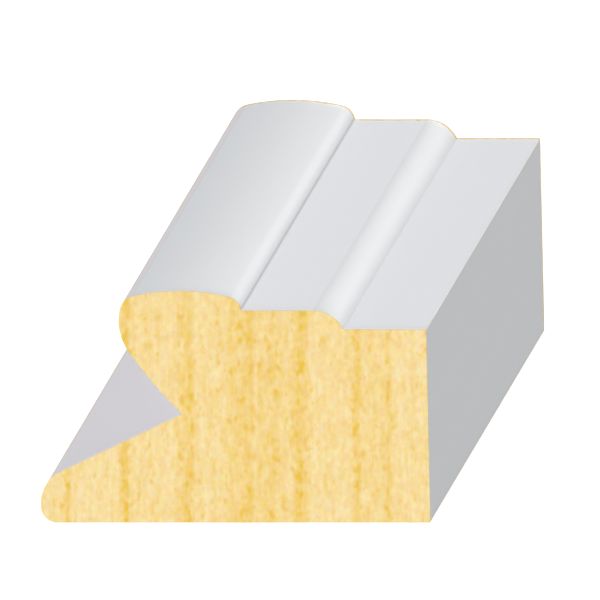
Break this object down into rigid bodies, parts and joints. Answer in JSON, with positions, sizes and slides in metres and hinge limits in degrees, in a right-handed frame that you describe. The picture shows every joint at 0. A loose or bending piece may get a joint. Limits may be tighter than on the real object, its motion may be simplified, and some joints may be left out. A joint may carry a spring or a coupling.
{
  "type": "stucco moulding",
  "caption": "Sawn length of primed exterior timber trim: an overhanging bead over a V groove that keys into render, an ovolo step and a flat back.",
  "frame": {"origin": "middle of the flat back, which the part lies on", "axes": "+X across the profile from the toe to the inner edge, +Y along the run, +Z out of the back towards the bead"},
  "size_m": [0.0508, 0.058, 0.0302],
  "materials": {
    "primed_pine": "satin light grey-white primer on the long faces, with both sawn ends left as bare pale pine"
  },
  "bodies": {
    "root": {"stucco_moulding": "primed_pine"}
  },
  "joints": []
}
